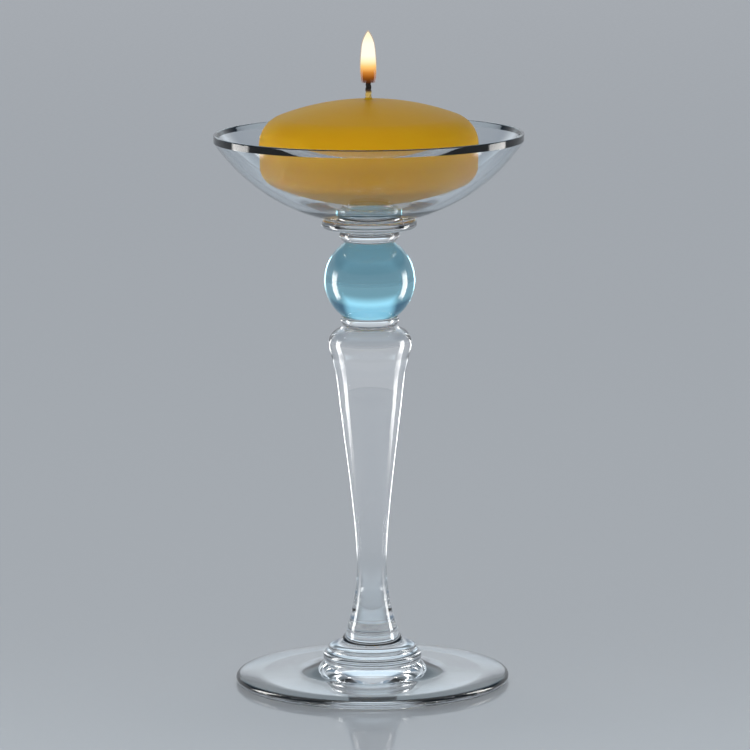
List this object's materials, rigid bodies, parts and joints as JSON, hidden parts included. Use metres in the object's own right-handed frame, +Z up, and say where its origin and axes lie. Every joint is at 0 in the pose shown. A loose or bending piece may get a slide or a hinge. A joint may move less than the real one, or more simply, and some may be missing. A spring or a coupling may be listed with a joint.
{
  "type": "floating candle bowl",
  "caption": "Clear glass pedestal bowl on a turned stem and round foot, with a loose domed candle, its wick and its flame.",
  "frame": {"origin": "centre of the foot's contact plane, where the stand meets the table", "axes": "+Z up along the stand's axis of revolution; +X and +Y lie in the table plane, and every piece is round about Z"},
  "size_m": [0.1076, 0.1076, 0.229],
  "materials": {
    "clear_glass": "clear and polished",
    "ball_glass": "pale aqua and polished",
    "candle_wax": "smooth amber wax with a soft sheen",
    "wick_cotton": "braided and waxed, charred at the tip",
    "tab_tin": "thin tinned sheet",
    "flame": "glowing, white at the core and orange at the foot"
  },
  "bodies": {
    "holder": {"foot": "clear_glass", "foot_ring": "clear_glass", "stem_base": "clear_glass", "stem": "clear_glass", "stem_wafer": "clear_glass", "ball_knop": "ball_glass", "ball_collar": "clear_glass", "bowl_wafer": "clear_glass", "bowl": "clear_glass"},
    "candle": {"candle_wax": "candle_wax", "wick": "wick_cotton", "wick_tab": "tab_tin", "flame": "flame"}
  },
  "joints": [
    {"name": "candle_lift", "type": "slide", "parent": "holder", "child": "candle", "axis": [0, 0, 1], "range_m": [0, 0.032]}
  ]
}
